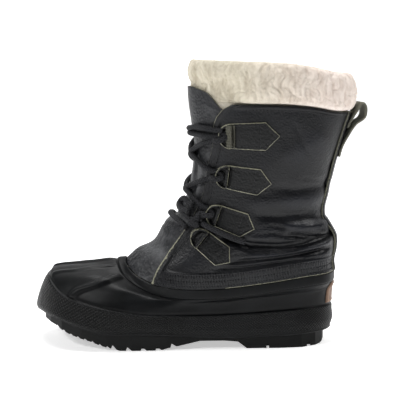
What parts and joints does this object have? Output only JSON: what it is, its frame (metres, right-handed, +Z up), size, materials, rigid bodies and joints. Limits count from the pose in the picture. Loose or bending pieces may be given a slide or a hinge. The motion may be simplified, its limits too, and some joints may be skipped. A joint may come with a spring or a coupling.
{
  "type": "pac boot",
  "caption": "Pac boot for the left foot: hollow rubber foot, laced leather shaft, felt liner with a pile cuff, standing empty on its sole.",
  "frame": {"origin": "on the floor, under the middle of the boot's box", "axes": "-X toward the toe, -Y toward the outer side of the foot, +Z up"},
  "size_m": [0.3364, 0.1254, 0.2858],
  "materials": {
    "sole_rubber": "moulded, matte",
    "shell_rubber": "moulded, satin",
    "insole_board": "needled board",
    "felt": "pressed wool felt",
    "shaft_leather": "oiled full grain",
    "tongue_leather": "scuffed pebbled grain",
    "fleece": "long wool pile",
    "webbing": "woven webbing",
    "patch_leather": "plain stitched patch",
    "tab_leather": "oiled, raw cut edge",
    "ring_metal": "black painted steel wire",
    "lace_cord": "round braided cord"
  },
  "bodies": {
    "root": {"outsole": "sole_rubber", "rubber_shell": "shell_rubber", "insole": "insole_board", "felt_liner": "felt", "leather_shaft": "shaft_leather", "tongue": "tongue_leather", "fleece_cuff": "fleece", "back_strip": "webbing", "heel_patch": "patch_leather", "tab_outer_1": "tab_leather", "tab_outer_2": "tab_leather", "tab_outer_3": "tab_leather", "tab_outer_4": "tab_leather", "tab_inner_1": "tab_leather", "tab_inner_2": "tab_leather", "tab_inner_3": "tab_leather", "tab_inner_4": "tab_leather", "d_ring_outer_1": "ring_metal", "d_ring_outer_2": "ring_metal", "d_ring_outer_3": "ring_metal", "d_ring_outer_4": "ring_metal", "d_ring_inner_1": "ring_metal", "d_ring_inner_2": "ring_metal", "d_ring_inner_3": "ring_metal", "d_ring_inner_4": "ring_metal", "lace_crossings": "lace_cord", "lace_knot": "lace_cord", "lace_loop": "lace_cord", "lace_end_outer": "lace_cord", "lace_end_inner": "lace_cord"}
  },
  "joints": []
}
